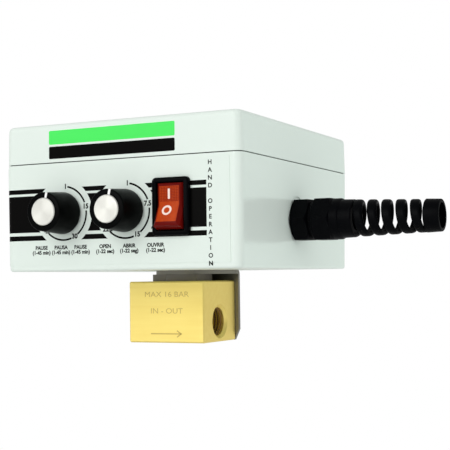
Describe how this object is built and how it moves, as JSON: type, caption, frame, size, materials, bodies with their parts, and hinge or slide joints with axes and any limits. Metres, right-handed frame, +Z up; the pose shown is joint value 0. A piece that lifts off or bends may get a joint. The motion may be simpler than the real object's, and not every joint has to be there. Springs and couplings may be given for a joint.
{
  "type": "automatic drain valve",
  "caption": "Timed solenoid drain valve: brass threaded body under a plastic timer case with two dials, a lit rocker switch and a spiral cable gland.",
  "frame": {"origin": "axis of the inlet port, where its straight threaded wall begins behind the mouth's chamfer", "axes": "+X along the flow, from the inlet port to the outlet port and towards the cable gland; +Y to the back, away from the dials; +Z up, from the brass body to the case"},
  "size_m": [0.1589, 0.1224, 0.0851],
  "materials": {
    "case_plastic": "pale grey moulded plastic, satin",
    "printed_film": "pale film with a printed black band and dials",
    "black_knob": "glossy black moulded plastic",
    "silver_cap": "turned aluminium disc with a radial sheen",
    "white_mark": "white paint",
    "lit_red": "translucent orange-red plastic, lit from inside",
    "black_switch": "black moulded plastic, satin",
    "black_nylon": "black nylon, slightly shiny",
    "black_rubber": "black rubber",
    "brass_body": "machined brass bar",
    "steel": "brushed stainless steel",
    "zinc_steel": "bright zinc plated steel",
    "tinned": "tinned copper",
    "copper_wire": "enamelled copper wire",
    "bobbin_plastic": "glass filled nylon",
    "board_green": "green solder mask",
    "pot_shell": "die-cast shell",
    "phenolic": "brown phenolic board",
    "component_black": "black moulded package",
    "component_blue": "blue plastic case",
    "component_yellow": "yellow plastic case",
    "terminal_green": "green plastic",
    "lamp_glass": "clear glass bulb"
  },
  "bodies": {
    "valve": {"valve_body": "brass_body", "armature_tube": "steel", "stem_o_ring": "black_rubber", "fixed_core": "steel", "plunger_spring": "steel", "coil_yoke": "zinc_steel", "coil_bobbin": "bobbin_plastic", "coil_winding": "copper_wire", "coil_terminals": "tinned", "coil_washer": "zinc_steel", "coil_nut": "zinc_steel", "mounting_bracket": "steel", "bracket_screws": "zinc_steel", "enclosure_base": "case_plastic", "enclosure_lid": "case_plastic", "lid_gasket": "black_rubber", "lid_screws": "zinc_steel", "front_label": "printed_film", "switch_housing": "black_switch", "switch_terminals": "tinned", "switch_lamp": "lamp_glass", "circuit_board": "board_green", "relay": "component_blue", "supply_capacitor": "component_yellow", "timer_chip": "component_black", "reservoir_capacitor": "component_black", "terminal_block": "terminal_green", "gland_body": "black_nylon", "gland_washer": "black_rubber", "gland_locknut": "black_nylon", "gland_seal": "black_rubber", "gland_nut": "black_nylon", "cycle_pot_case": "pot_shell", "cycle_pot_wafer": "phenolic", "cycle_pot_nut": "zinc_steel", "drain_pot_case": "pot_shell", "drain_pot_wafer": "phenolic", "drain_pot_nut": "zinc_steel"},
    "cycle_dial": {"cycle_pot_shaft": "pot_shell", "cycle_knob": "black_knob", "cycle_knob_cap": "silver_cap", "cycle_knob_pointer": "white_mark"},
    "drain_dial": {"drain_pot_shaft": "pot_shell", "drain_knob": "black_knob", "drain_knob_cap": "silver_cap", "drain_knob_pointer": "white_mark"},
    "rocker": {"switch_rocker": "lit_red"},
    "armature": {"plunger": "steel", "plunger_seal": "black_rubber"}
  },
  "joints": [
    {"name": "cycle_dial_turn", "type": "hinge", "parent": "valve", "child": "cycle_dial", "pos_m": [-0.0061, -0.0533, 0.0426], "axis": [0, 1, 0], "range_deg": [0, 225]},
    {"name": "drain_dial_turn", "type": "hinge", "parent": "valve", "child": "drain_dial", "pos_m": [0.0211, -0.0533, 0.0426], "axis": [0, 1, 0], "range_deg": [0, 225]},
    {"name": "rocker_tilt", "type": "hinge", "parent": "valve", "child": "rocker", "pos_m": [0.04065, -0.0533, 0.0434], "axis": [1, 0, 0], "range_deg": [0, 24]},
    {"name": "plunger_lift", "type": "slide", "parent": "valve", "child": "armature", "axis": [0, 0, 1], "range_m": [0, 0.0015], "stiffness_N_per_m": 300, "springref_m": -0.003, "deforming": ["plunger_spring"]}
  ]
}
